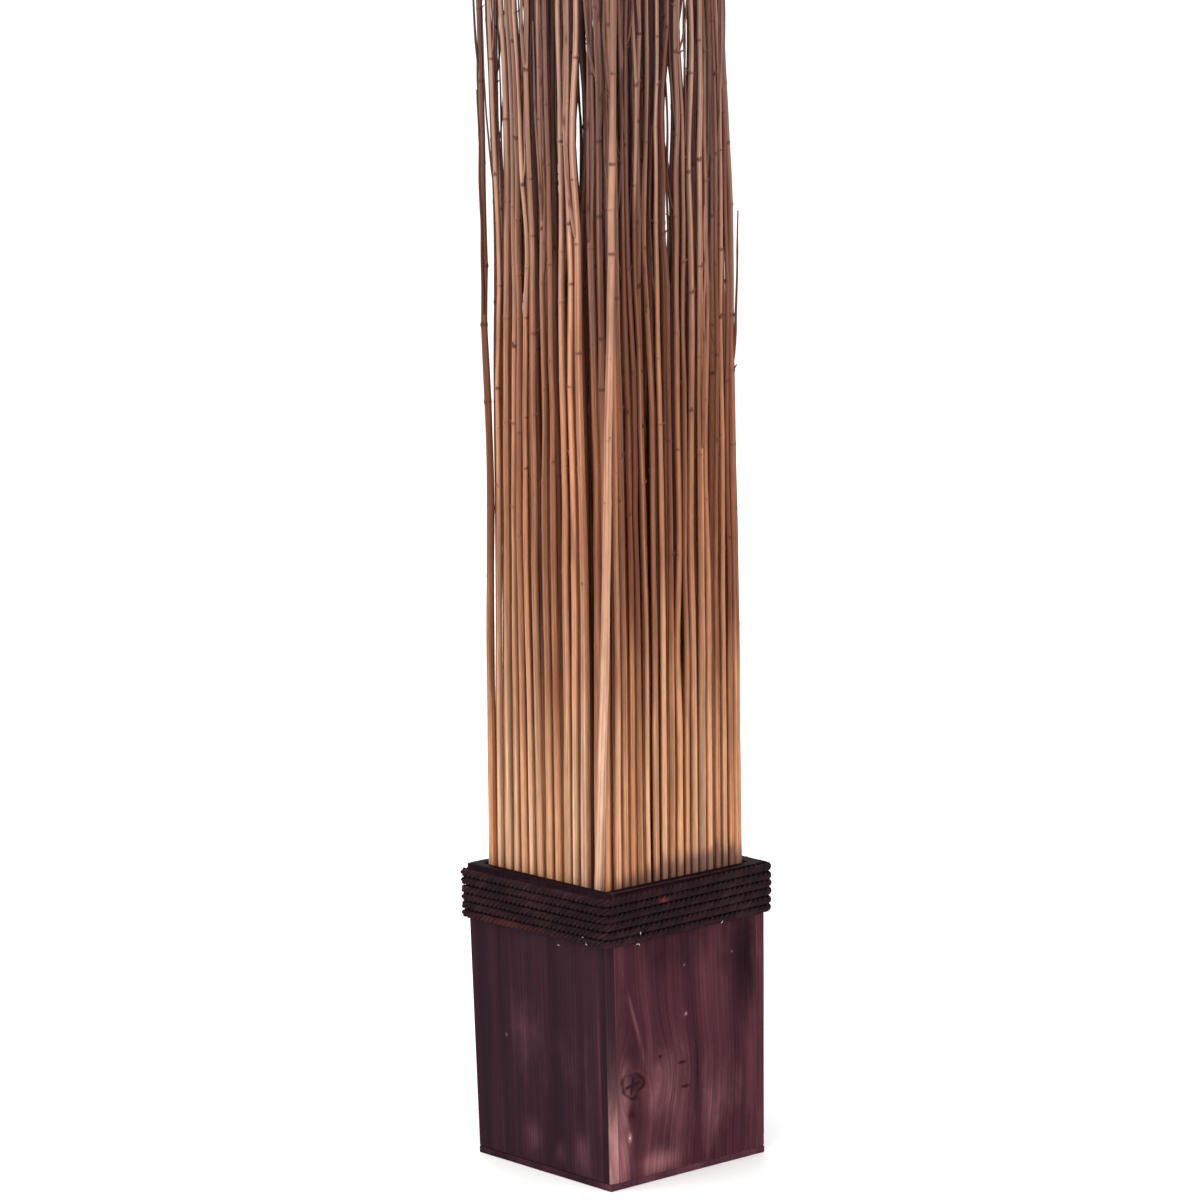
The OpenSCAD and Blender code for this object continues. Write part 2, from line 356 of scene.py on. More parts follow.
def stained_wood_paint(name, dark, middle, light, wear_and_highlight):
    """Softwood boards under a thin purple-brown stain, paler on the arrises from a little wear and
    from a painted highlight.
    """
    paint = Paint(name, Specular_IOR_Level=0.015)
    grain = paint.attribute("grain", "Vector")
    edge = paint.attribute("edge")
    knot = paint.attribute("knot")
    pale = paint.attribute("pale")

    warp = paint.streaks(grain, (14, 14, 3), 2.0)
    across = paint.plus(paint.part(grain, 0), paint.times(warp, 16 * MM))
    rings = paint.math("SINE", paint.times(across, FULL_TURN / RING_SPACING))
    bands = paint.streaks(grain, (45, 45, 2.2), 3.0)
    fibres = paint.streaks(grain, (520, 520, 9), 4.0, 0.6)
    cloud = paint.streaks(grain, (16, 16, 9), 3.0, 0.6)
    blots = paint.streaks(grain, (95, 95, 45), 4.0, 0.65)

    colour = paint.mix(paint.span(bands, 0.34, 0.68), dark, middle)
    lit = paint.plus(paint.plus(pale, paint.swing(cloud, 1.1)), paint.swing(blots, 0.5))
    colour = paint.mix(paint.span(lit, 0.0, 1.0), colour, light)
    colour = paint.mix(paint.span(lit, -0.15, -0.9), colour, linear(24, 13, 19))
    colour = paint.mix(paint.times(paint.span(rings, 0.0, 1.0), 0.20), colour, dark)
    colour = paint.tint(colour, paint.span(fibres, 0.3, 0.72, 0.78, 1.20))
    colour = paint.mix(paint.span(knot, 0.15, 1.0, 0.0, 0.85), colour, linear(30, 14, 19))

    scuff = paint.streaks(grain, (60, 60, 14), 4.0)
    # Paler arrises and ends: wear, and on the arrises a painted highlight as well.
    rubbed = paint.times(paint.span(edge, 0.3, 1.0), paint.span(scuff, 0.36, 0.62, 0.4, 0.95))
    colour = paint.mix(rubbed, colour, wear_and_highlight)
    chip = paint.span(pale, 1.6, 2.2)
    colour = paint.mix(chip, colour, linear(196, 172, 170))

    roughness = paint.span(fibres, 0.3, 0.7, 0.5, 0.7)
    relief = paint.plus(fibres, paint.times(rings, 0.12))
    return paint.finish(colour, roughness, relief, 0.3, 0.3 * MM)


def rope_paint():
    """Dark brown twisted natural fibre, each strand spun from finer yarns."""
    paint = Paint("twisted_rope", Specular_IOR_Level=0.04)
    around = paint.attribute("around")
    along = paint.attribute("along")
    tone = paint.attribute("tone")
    rust = paint.attribute("rust")
    turn = paint.plus(paint.times(around, YARNS), paint.times(along, -YARN_TWIST))
    yarn = paint.math("SINE", paint.times(turn, FULL_TURN))
    place = paint.place()
    fuzz = paint.noise(place, 900, 4.0, 0.7)
    broad = paint.noise(place, 55, 3.0)
    colour = paint.mix(paint.span(broad, 0.35, 0.7), linear(34, 19, 24), linear(56, 36, 41))
    colour = paint.mix(paint.span(yarn, -0.2, 1.0, 0.0, 0.5), colour, linear(62, 42, 48))
    colour = paint.mix(paint.span(fuzz, 0.58, 0.8, 0.0, 0.5), colour, linear(84, 60, 60))
    colour = paint.mix(paint.times(tone, 0.35), colour, linear(26, 15, 19))
    colour = paint.mix(rust, colour, linear(132, 62, 46))
    relief = paint.plus(paint.times(yarn, 0.6), fuzz)
    return paint.finish(colour, 0.82, relief, 0.8, 0.35 * MM)


def grit_paint(name, dark, light, speck, scale, roughness, strength):
    """Crumbly solids: the cast ballast and the dry foam."""
    paint = Paint(name)
    place = paint.place()
    cloud = paint.noise(place, scale, 5.0, 0.65)
    pores = paint.node("TexVoronoi", ("Vector", place), ("Scale", scale * 9)).outputs["Distance"]
    colour = paint.mix(paint.span(cloud, 0.35, 0.65), dark, light)
    colour = paint.mix(paint.span(pores, 0.05, 0.3, 0.7, 0.0), colour, speck)
    return paint.finish(colour, roughness, paint.plus(cloud, pores), strength, 0.8 * MM)


def steel_paint():
    paint = Paint("galvanised_wire", Metallic=1.0)
    place = paint.place()
    dull = paint.noise(place, 400, 4.0)
    colour = paint.mix(paint.span(dull, 0.35, 0.7), linear(150, 150, 154), linear(196, 196, 200))
    return paint.finish(colour, paint.span(dull, 0.3, 0.7, 0.28, 0.5), dull, 0.15, 0.1 * MM)


def glue_paint():
    paint = Paint("dried_glue", Subsurface_Weight=0.2)
    dust = paint.noise(paint.place(), 900, 3.0)
    colour = paint.mix(paint.span(dust, 0.3, 0.7), linear(205, 190, 184), linear(150, 128, 124))
    return paint.finish(colour, 0.45, dust, 0.3, 0.2 * MM)


outer_bark = bark_paint(
    "outer_bark",
    (linear(200, 156, 124), linear(182, 122, 82)),
    (linear(182, 124, 90), linear(98, 49, 28)),
    (linear(182, 140, 122), linear(86, 51, 43)),
)
# The inner rows' bark: darker than the outer bark above the foot, and darker in its patches and
# knuckle marks, as painted shade for the sticks deep in the bundle.
inner_bark = bark_paint(
    "inner_bark",
    (linear(212, 156, 116), linear(180, 114, 76)),
    (linear(154, 98, 68), linear(88, 45, 29)),
    (linear(150, 108, 95), linear(72, 43, 40)),
    dark=0.85,
)
pale_bark = bark_paint(
    "pale_bark",
    (linear(196, 156, 130), linear(174, 128, 102)),
    (linear(174, 128, 102), linear(148, 102, 78)),
    (linear(136, 98, 82), linear(104, 71, 59)),
)
dark_board = stained_wood_paint(
    "stained_board_dark", linear(38, 22, 29), linear(50, 29, 37),
    linear(96, 58, 70), linear(176, 126, 124),
)
red_board = stained_wood_paint(
    "stained_board_red", linear(54, 27, 35), linear(81, 45, 52),
    linear(138, 92, 96), linear(176, 126, 124),
)
rope_fibre = rope_paint()
cement = grit_paint("cast_cement", linear(120, 116, 110), linear(160, 155, 148),
                    linear(86, 82, 78), 60, 0.9, 0.5)
foam = grit_paint("dry_foam", linear(52, 62, 42), linear(78, 88, 60),
                  linear(34, 40, 28), 120, 0.95, 0.7)
steel = steel_paint()
glue = glue_paint()


# ---------- boards, foam and ballast ----------

SEAM = 0.35 * MM  # rounding where two boards meet
ARRIS = 1.1 * MM  # rounding of a board's open edge
FINE = 1.3 * MM  # grid of the boards' faces
KNOT_RELIEF = 0.16 * MM
DEEPEST = 1.2 * MM  # most that relief may take off a surface


def corner_points(node):
    """Corners of a block with level top and bottom: [x side][y side][z side], as the CAD has it."""
    points = cad_points(node)
    corners = np.zeros((2, 2, 2, 3))
    for k, level in enumerate((points[:, 2].min(), points[:, 2].max())):
        layer = points[abs(points[:, 2] - level) < 0.05 * MM]
        ends = layer.min(0), layer.max(0)
        for i, j in np.ndindex(2, 2):
            corners[i, j, k] = (ends[i][0], ends[j][1], level)
    return corners


def marks(length, step, radius):
    """Grid lines along one side of a block: even, with extra ones in the rounded ends."""
    inner = np.linspace(radius, length - radius, max(2, round(length / step)))
    ends = radius * np.array([0.0, 0.3, 0.65])
    return np.concatenate([ends, inner, (length - ends)[::-1]])


def surface_grid(counts):
    """Points of a grid that lie on the surface of a block, and the quads between them."""
    top = np.array(counts) - 1
    found, quads = [], []
    for axis in range(3):
        b, c = (axis + 1) % 3, (axis + 2) % 3
        for side in (0, top[axis]):
            p, q = np.meshgrid(np.arange(top[b]), np.arange(top[c]), indexing="ij")
            p, q = p.ravel(), q.ravel()
            loop = [(p, q), (p + 1, q), (p + 1, q + 1), (p, q + 1)]
            if side == 0:
                loop.reverse()
            for u, v in loop:
                index = np.zeros((len(p), 3), int)
                index[:, axis], index[:, b], index[:, c] = side, u, v
                found.append(index)
            quads.append(len(p))
    unique, inverse = np.unique(np.concatenate(found), axis=0, return_inverse=True)
    inverse = inverse.ravel()
    loops, at = [], 0
    for count in quads:
        loops.append(inverse[at:at + 4 * count].reshape(4, count).T)
        at += 4 * count
    return unique, np.concatenate(loops)


def field(points, scale, seed):
    """Smooth noise from about -1 to 1 at each point, at so many waves a metre on each axis."""
    spread = Vector(scale)
    offset = Vector((seed * 7.31, seed * 3.17, seed * 5.53))
    return np.array([
        noise.noise(Vector((p[0] * spread.x, p[1] * spread.y, p[2] * spread.z)) + offset)
        for p in points
    ])


class Knot:
    """A knot on a board's face: where it is across and up the board, its radius, how dark."""

    def __init__(self, across, up, radius, dark=1.0):
        self.across, self.up, self.radius, self.dark = across, up, radius, dark

    def distance(self, across, up):
        """Distance from the middle in radii of the knot's uneven outline."""
        turn = np.arctan2(up - self.up, across - self.across)
        outline = 1 + 0.10 * np.sin(3 * turn + 0.5) + 0.07 * np.sin(5 * turn + 2.0)
        return np.hypot(across - self.across, (up - self.up) / 0.85) / (self.radius * outline)

    def push(self, across, up):
        """How far the grain is pushed aside as it flows round the knot."""
        near = np.exp(-((up - self.up) / (4.5 * self.radius)) ** 2)
        gap = across - self.across
        return near * self.radius * 1.6 * np.tanh(gap / self.radius) * np.exp(
            -np.abs(gap) / (5 * self.radius)
        )

    def mark(self, across, up):
        """Dark outline of the knot with a cross-shaped crack inside it."""
        away = self.distance(across, up)
        aside, above = across - self.across, up - self.up
        ring = np.exp(-((away - 1.0) / 0.17) ** 2)
        outer = 0.4 * np.exp(-((away - 1.5) / 0.16) ** 2) * (above > 0)
        arms = np.minimum(abs(aside - 0.2 * above), abs(above - 0.15 * aside))
        crack = np.exp(-(arms / (0.11 * self.radius)) ** 2) * (away < 0.75)
        return self.dark * (np.maximum(ring, crack) + outer + 0.3 * (away < 1.0))


def inside_corners(corners, share):
    """Points at shares of the way across, along and up the CAD's eight corners."""
    x, y, z = np.clip(share, 0, 1).T[:, :, None]
    low, high = (
        (level[0, 0] * (1 - x) + level[1, 0] * x) * (1 - y)
        + (level[0, 1] * (1 - x) + level[1, 1] * x) * y
        for level in (corners[:, :, 0], corners[:, :, 1])
    )
    return low * (1 - z) + high * z


def block(node, material, across, seed, round_outside, round_inside=None, step=FINE,
          relief=0.18 * MM, knots=(), dents=(), patches=(), rubbed=0.6, rubbed_ends=0.0,
          stained_and_shaded_top=0.0):
    """A sawn board or a cast block: the CAD's corners with softened arrises and real relief.

    across is the axis that the face is wide along: 0 for X, 1 for Y. The other level axis is
    the depth, and the outside is the side farther from the middle of the pot.
    A dent has a place across and up, half sizes and a depth. A patch of paler or darker stain
    has a place across and up, half sizes, a slant and a strength. rubbed is for the arrises,
    paler from wear and from a painted highlight, rubbed_ends for the board's ends, and
    stained_and_shaded_top for a darker upper edge, from thicker stain and from painted shade.
    """
    corners = corner_points(node)
    size = np.linalg.norm(np.stack([
        corners[1, 0, 1] - corners[0, 0, 1],
        corners[0, 1, 1] - corners[0, 0, 1],
        corners[0, 0, 1] - corners[0, 0, 0],
    ]), axis=1)
    round_inside = round_outside if round_inside is None else round_inside
    lines = [marks(size[axis], step, round_outside) for axis in range(3)]
    grid, quads = surface_grid([len(line) for line in lines])
    flat = np.stack([lines[axis][grid[:, axis]] for axis in range(3)], axis=1)

    depth_axis = 1 - across
    outside_is_low = corners[:, :, :, depth_axis].mean() < 0
    from_outside = flat[:, depth_axis] if outside_is_low else size[depth_axis] - flat[:, depth_axis]
    radius = np.where(from_outside < size[depth_axis] / 2, round_outside, round_inside)[:, None]
    core = np.clip(flat, radius, size - radius)
    away = flat - core
    normal = away / np.maximum(np.linalg.norm(away, axis=1, keepdims=True), 1e-9)

    wide, up = flat[:, across] - size[across] / 2, flat[:, 2]
    push = sum((knot.push(wide, up) for knot in knots), np.zeros(len(flat)))
    along_grain = np.stack([wide - push, from_outside, up], axis=1)
    ridges = field(along_grain, (420, 420, 9), seed)
    waves = field(along_grain, (30, 30, 6), seed + 1)
    sunk = relief * (0.5 + 0.35 * ridges + 0.3 * waves)
    knot_mark = sum((knot.mark(wide, up) for knot in knots), np.zeros(len(flat)))
    sunk += KNOT_RELIEF * knot_mark
    knot_mark *= np.clip(0.85 + 0.6 * field(along_grain, (260, 260, 200), seed + 2), 0.45, 1.1)
    for dent_across, dent_up, dent_wide, dent_tall, dent_deep in dents:
        gap = ((wide - dent_across) / dent_wide) ** 2 + ((up - dent_up) / dent_tall) ** 2
        sunk += dent_deep * np.exp(-gap)
        knot_mark += 1.1 * np.exp(-gap)
    flat = core + normal * (radius - np.clip(sunk, 0, DEEPEST)[:, None])

    to_face = np.sort(np.minimum(flat, size - flat), axis=1)[:, 1]
    pale = np.zeros(len(flat))
    for patch_across, patch_up, half_wide, half_tall, slant, strength in patches:
        aside = (wide - patch_across - slant * (up - patch_up)) / half_wide
        pale += strength * np.exp(-aside ** 2 - ((up - patch_up) / half_tall) ** 2)
    # Darker along the upper edge: thicker stain there, and painted shade above the rope and under
    # the sticks.
    pale -= stained_and_shaded_top * np.exp(-(size[2] - up) / (3 * MM))
    # Paler arrises: wear, and a painted highlight along the rounded edges.
    arris = rubbed * np.exp(-to_face / (0.9 * MM))
    at_end = size[across] / 2 - abs(wide) < round_outside
    end_rub = rubbed_ends * at_end * (0.35 + 0.65 * np.exp(-(up / (62 * MM)) ** 2))
    soup = Soup()
    soup.add(
        inside_corners(corners, flat / size), quads,
        grain=along_grain + np.array([seed * 0.37, seed * 0.11, seed * 0.53]),
        edge=np.maximum(arris, end_rub),
        knot=np.clip(knot_mark * (from_outside < size[depth_axis] / 2), 0, 1),
        pale=pale,
    )
    return soup.build(node + "_piece", material)


def attach(piece, body, node):
    """Say what a piece rides on, which CAD node it replaces."""
    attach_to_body(piece, body)
    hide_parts(node)


# By default a board's upper edge is darker: thicker stain and painted shade.
def place_board(node, *settings, step=FINE, stained_and_shaded_top=1.2, **looks):
    piece = block(node, *settings, step=step, stained_and_shaded_top=stained_and_shaded_top, **looks)
    attach(piece, "pot", node)


def place_cast(node, body, material, seed, relief):
    """A block of a crumbly material, with every edge rounded."""
    piece = block(node, material, 0, seed, 1.5 * MM, relief=relief, step=3 * MM)
    attach(piece, body, node)


def in_mm(*rows):
    """Rows of settings whose first four numbers are in millimetres."""
    return [tuple(value * MM for value in row[:4]) + tuple(row[4:]) for row in rows]


FRONT_PATCHES = in_mm(
    (-22, 94, 15, 30, 0, 0.42), (-13, 20, 11, 15, 0, 0.5), (44, 17, 9, 14, 0, 0.45),
    (20, 12, 8, 10, 0, 0.3), (52, 90, 2.5, 90, 0, 0.25), (66, 100, 2, 90, 0, 0.35),
    (60, 60, 2, 70, 0, -0.4), (-60, 20, 14, 26, 0, -0.3), (0, 150, 60, 30, 0, -0.25),
    (-38.5, 90, 1.1, 1.1, 0, 1.9),
)
RIGHT_PATCHES = in_mm(
    (-54, 130, 1.8, 40, -0.28, 0.45), (-60, 168, 6, 14, -0.3, 0.3), (-54, 48, 3, 4, 0, -0.9),
    (-63, 34, 7, 60, 0, 0.62), (-30, 8, 18, 9, 0, 0.8), (-57, 31, 1.2, 2.6, 0, 2.2),
    (-22, 64, 20, 28, 0, 0.34), (10, 62, 2.2, 44, 0, -0.7), (22, 45, 12, 34, 0, 0.3),
    (46, 52, 15, 26, 0, 0.4), (58, 130, 12, 45, 0, -0.6), (0, 165, 70, 45, 0, -0.42),
    (24, 160, 4, 40, 0, 0.2), (-1, 112, 1.0, 1.0, 0, 1.9), (-2, 148, 0.9, 0.9, 0, 1.9),
    (44, 150, 0.9, 0.9, 0, 1.9), (62, 22, 10, 30, 0, -0.4),
)
RIGHT_KNOTS = (Knot(-53.5 * MM, 69 * MM, 10.2 * MM), Knot(-30 * MM, 74 * MM, 5 * MM, 0.0))
RIGHT_DENTS = in_mm(
    (-5, 77, 5, 1.4, 0.8 * MM), (-2, 59, 5, 1.4, 0.7 * MM), (-26, 85, 2, 1.5, 0.6 * MM),
)

place_board("front_board", dark_board, 0, 1, ARRIS, SEAM,
            patches=FRONT_PATCHES, rubbed_ends=1.0)
place_board("back_board", red_board, 0, 2, ARRIS, SEAM,
            knots=(Knot(30 * MM, 120 * MM, 7 * MM),),
            patches=in_mm((-40, 60, 12, 50, 0, 0.4), (10, 150, 20, 40, 0, -0.4)))
place_board("left_board", dark_board, 1, 3, SEAM,
            knots=(Knot(-22 * MM, 60 * MM, 6 * MM),),
            patches=in_mm((30, 40, 14, 40, 0, 0.5), (-50, 120, 14, 50, 0, -0.3)))
place_board("right_board", red_board, 1, 4, SEAM, step=1.0 * MM,
            knots=RIGHT_KNOTS, dents=RIGHT_DENTS, patches=RIGHT_PATCHES)
place_board("bottom_panel", dark_board, 0, 5, 0.5 * MM, step=2.5 * MM, rubbed=0.3,
            patches=in_mm((74, 2, 16, 90, 0, 0.55)), stained_and_shaded_top=0.0)
place_cast("ballast_block", "pot", cement, 6, 1.0 * MM)
place_cast("foam_base", "stick_bundle", foam, 7, 0.6 * MM)
place_cast("foam_core", "stick_bundle", foam, 8, 0.6 * MM)


# ---------- rope ----------

ROPE_R = 3 * MM
ROPE_TURNS = 6
STRANDS = 3
STRAND_R = 1.40 * MM
STRAND_OUT = 1.62 * MM  # from the rope's centre line to a strand's
LAY = 14.5 * MM  # length in which a strand goes round once
BEND_R = 5 * MM  # of the centre line, at the pot's corners
CORNER_STEPS = 8
RING_STEP = 1.1 * MM
STRAND_SIDES = 10
HAIRS = 900
SPECK_RINGS, SPECK_SIDES = 7, 8
SPECK_ACROSS = np.array([0.3, 0.3, 1.0])
HAIR_RINGS, HAIR_SIDES = 4, 3

rope_low, rope_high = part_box("rope_wrap")
ROPE_START_Z = rope_low.z + ROPE_R
TURN_RISE = (rope_high.z - rope_low.z - 2 * ROPE_R) / ROPE_TURNS


def half_at(z):
    """Half the pot's outer width at a height."""
    return BASE_HALF + (RIM_HALF - BASE_HALF) * z / RIM_Z


def rope_route():
    """Centre line of the rope: round the rim from mid-back, climbing one diameter a turn."""
    points, normals = [], []

    def put(middle, reach, angle, share):
        way = np.array([math.cos(angle), math.sin(angle)])
        points.append((*(middle + reach * way), ROPE_START_Z + TURN_RISE * share))
        normals.append((*way, 0))

    put(0, half_at(ROPE_START_Z) + ROPE_R, math.pi / 2, 0)
    for turn in range(ROPE_TURNS):
        for corner in range(4):
            share = turn + (corner + 0.5) / 4
            reach = half_at(ROPE_START_Z + TURN_RISE * share) + ROPE_R - BEND_R
            towards = math.radians(135 + 90 * corner)
            middle = math.sqrt(2) * reach * np.array([math.cos(towards), math.sin(towards)])
            for step in range(CORNER_STEPS + 1):
                put(middle, BEND_R, math.radians(90 * (corner + 1 + step / CORNER_STEPS)), share)
    put(0, half_at(ROPE_START_Z + TURN_RISE * ROPE_TURNS) + ROPE_R, math.pi / 2, ROPE_TURNS)

    steps = np.linalg.norm(np.diff(points, axis=0), axis=1)
    passed = np.concatenate([[0], np.cumsum(steps)])
    even = np.linspace(0, passed[-1], round(passed[-1] / RING_STEP))
    line, normal = (
        np.stack([np.interp(even, passed, values) for values in zip(*rows)], axis=1)
        for rows in (points, normals)
    )
    normal = unit(normal)
    line[:, 2] += 0.22 * MM * np.sin(even * 41) * np.sin(even * 6.7)
    line += normal * (0.18 * MM * np.sin(even * 29 + 1))[:, None]
    return line, normal, even


def rust_at(points):
    """Rust on the rope: a spot on the right and a faint band in front."""
    rope_out = RIM_HALF + 2 * ROPE_R
    spot = np.array([rope_out, -25 * MM, RIM_Z - 11 * MM])
    band = np.array([-22 * MM, -rope_out, ROPE_START_Z + ROPE_R])
    near_spot = ((points - spot) / (np.array([6, 3.2, 1.6]) * MM)) ** 2
    near_band = ((points - band) / (np.array([30, 6, 3]) * MM)) ** 2
    return 0.8 * np.exp(-near_spot.sum(1)) + 0.2 * np.exp(-near_band.sum(1))


def make_glue_specks():
    """Dried threads of glue and pale fibre on the rope's lowest turns."""
    chance = np.random.default_rng(11)
    out = half_at(ROPE_START_Z) + 2 * ROPE_R
    spots = [
        (59 * MM, -out, 6.5 * MM), (63 * MM, -out, 2 * MM), (30 * MM, -out, -2.5 * MM),
        (out, -48 * MM, 7 * MM), (out, -52 * MM, 1 * MM), (out, 30 * MM, 4 * MM),
    ]
    soup = Soup()
    share = np.linspace(0, 1, SPECK_RINGS)
    for x, y, up in spots:
        start = np.array([x, y, ROPE_START_Z + up])
        way = np.array([chance.uniform(-1, 1), chance.uniform(-1, 1), chance.uniform(-0.4, 1)])
        way[0 if abs(x) > abs(y) else 1] = 0.1
        reach = chance.uniform(1.6, 3.2) * MM
        centres = start + unit(way) * (share * reach)[:, None]
        centres[:, 2] += 0.5 * MM * np.sin(share * 5 + chance.uniform(0, 6))
        radii = (0.30 + 0.16 * np.sin(share * 9 + chance.uniform(0, 6))) * MM
        radii *= np.sin(np.pi * (0.08 + 0.84 * share))
        soup.add_tube(tube_points(centres, radii[:, None], SPECK_ACROSS, SPECK_SIDES))
    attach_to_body(soup.build("rope_glue_specks", glue), "pot")


def make_rope():
    """Three strands laid up along the route, as one piece."""
    line, normal, along = rope_route()
    soup = Soup()
    angle = angles(STRAND_SIDES)
    for strand in range(STRANDS):
        turn = FULL_TURN * (along / LAY + strand / STRANDS)
        arm = normal * np.cos(turn)[:, None] + UP * np.sin(turn)[:, None]
        lobes = 1 + 0.05 * np.cos(5 * angle[None] - FULL_TURN * along[:, None] / (7 * MM))
        radii = STRAND_R * lobes * (1 + 0.06 * np.sin(along * 83 + strand * 2))[:, None]
        points = tube_points(line + arm * STRAND_OUT, radii, arm, STRAND_SIDES)
        soup.add_tube(
            points,
            around=np.tile(angle / FULL_TURN, len(line)),
            along=np.repeat(along + strand * 0.7, STRAND_SIDES),
            tone=np.repeat(0.5 + 0.5 * np.sin(along * 13 + strand * 2.1), STRAND_SIDES),
            rust=rust_at(points.reshape(-1, 3)),
        )
    add_hairs(soup, line, normal)
    attach(soup.build("rope_wrap_piece", rope_fibre), "pot", "rope_wrap")


def add_hairs(soup, line, normal):
    """Short loose fibres standing off the rope."""
    chance = np.random.default_rng(5)
    share = np.linspace(0, 1, HAIR_RINGS)[:, None]
    radii = 0.07 * MM * (1.15 - share)
    none = np.zeros(HAIR_RINGS * HAIR_SIDES)
    for _ in range(HAIRS):
        at = chance.integers(5, len(line) - 5)
        tangent = unit(line[at + 1] - line[at - 1])
        lift = chance.uniform(-1.2, 1.2)
        out = normal[at] * math.cos(lift) + UP * math.sin(lift)
        way = unit(out + tangent * chance.uniform(-1.5, 1.5))
        length = chance.uniform(1.2, 4.0) * MM
        droop = UP * -chance.uniform(0, 1.2) * MM
        centres = line[at] + out * 2.7 * MM + way * length * share + droop * share ** 2
        points = tube_points(centres, radii, tangent + out, HAIR_SIDES)
        soup.add_tube(points, around=none, along=none, tone=none + chance.uniform(0, 0.5),
                      rust=none)


make_rope()
make_glue_specks()


# ---------- sticks ----------

STICK_SIDES = 10
TWIG_SIDES = 6
RING_GAP = 11 * MM
STRAIGHT_TO = RIM_Z + 14 * MM  # below this a stick doesn't bend
KNUCKLE_RINGS = np.array([-2.4, -1.1, 0.0, 1.2, 2.6]) * MM
KNUCKLE_REACH = 1.5 * MM
KNUCKLE_SWELL = 0.26
TWIG_SHARE = 0.42  # of the knuckles near the top that carry a twig
TWIG_JOINT_GAP = 55 * MM
TWIG_FIRST_JOINT = 30 * MM


def welded_parts(node):
    """Points of each separate solid in a CAD node."""
    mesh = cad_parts[node].data
    points = cad_points(node)
    edges = np.zeros(len(mesh.edges) * 2, np.int32)
    mesh.edges.foreach_get("vertices", edges)
    weld = np.unique(np.round(points / (2e-3 * MM)), axis=0, return_inverse=True)[1].ravel()
    start, end = weld[edges].reshape(-1, 2).T
    label = np.arange(weld.max() + 1)
    while True:
        lowest = np.minimum(label[start], label[end])
        joined = label.copy()
        np.minimum.at(joined, label[start], lowest)
        np.minimum.at(joined, label[end], lowest)
        joined = joined[joined]
        if (joined == label).all():
            break
        label = joined
    root = label[weld]
    return [points[root == part] for part in np.unique(root)]


def cone_of(points):
    """Foot centre, tip centre, foot radius and tip radius of one straight CAD stick."""
    z = points[:, 2]
    ends = []
    for cap in (points[z < z.min() + 0.6 * MM], points[z > z.max() - 0.3 * MM]):
        low, high = cap.min(0), cap.max(0)
        ends.append(((low + high) / 2, (high - low)[:2].mean() / 2))
    (foot, foot_r), (tip, tip_r) = ends
    return foot, tip, foot_r, tip_r


def sticks_of(node):
    """The CAD sticks of a node, in order along their side of the pot."""
    cones = [cone_of(part) for part in welded_parts(node)]
    feet = np.array([cone[0][:2] for cone in cones])
    axis = int(np.ptp(feet[:, 1]) > np.ptp(feet[:, 0]))
    return sorted(cones, key=lambda cone: cone[0][axis])


def outward(facing):
    """Level unit vector in a direction given as an angle from +X."""
    return np.array([math.cos(facing), math.sin(facing), 0.0])


def eased(value):
    """0 to 1 on a smooth step, and no further either way."""
    value = np.clip(value, 0, 1)
    return value * value * (3 - 2 * value)


# Where daylight shows between the sticks from the front right. Each row, in millimetres: how
# far right of the middle it is from there, its height, half its width and half its length.
OPENINGS = np.array([
    (-78, 680, 1.8, 110), (-69, 775, 1.8, 90), (-53, 835, 1.8, 45), (-13, 741, 2.8, 60),
    (48, 754, 2.6, 42), (47, 680, 1.6, 40), (61, 812, 2.2, 60), (92, 850, 3.0, 110),
    (-55, 667, 1.3, 40), (50, 378, 0.8, 50), (-30, 930, 2.4, 90), (20, 980, 2.6, 110),
    (74, 960, 2.4, 90), (-66, 990, 2.8, 100), (0, 890, 1.4, 50),
]) * MM
ALONG_OPENINGS = np.array([math.cos(CAMERA_YAW), math.sin(CAMERA_YAW)])
SPREAD_ROUND_OPENING = 16 * MM
SWAY = 1.9 * MM
SETTLING_DEPTH = 60 * MM  # below the rim, where the settling starts
SETTLED_BY = 0.8 * MM


def parted(points, thickness, sides):
    """How far a stick stands aside for the openings, given the side of each that it is on."""
    aside = np.zeros(len(points))
    across = points[:, :2] @ ALONG_OPENINGS
    for (middle, height, half_width, half_length), side in zip(OPENINGS, sides):
        away = across - middle
        room = (half_width + thickness) * np.exp(-((points[:, 2] - height) / half_length) ** 2)
        step = np.hypot(away, room) - abs(away)
        aside += side * step * np.exp(-(away / SPREAD_ROUND_OPENING) ** 2)
    return aside[:, None] * ALONG_OPENINGS


def shared_sway(foot, z):
    """Slow bends that neighbouring sticks have in common, and none deep inside the pot.

    Near the rim the whole bundle settles a little towards the pot's front left corner.
    """
    settled = eased((z - RIM_Z) / SETTLING_DEPTH + 1)[:, None]
    settling = settled * np.append(0.012 * foot[:2] - SETTLED_BY, 0)
    share = eased((z - STRAIGHT_TO) / 0.5)[:, None] * SWAY
    return settling + share * np.stack([
        np.sin(z * 7.5 + foot[1] * 44 + 0.8) + 0.4 * np.sin(z * 14 + foot[0] * 60),
        np.sin(z * 6.3 - foot[0] * 41 + 2.1) + 0.4 * np.sin(z * 15 - foot[1] * 58),
        np.zeros_like(z),
    ], axis=1)


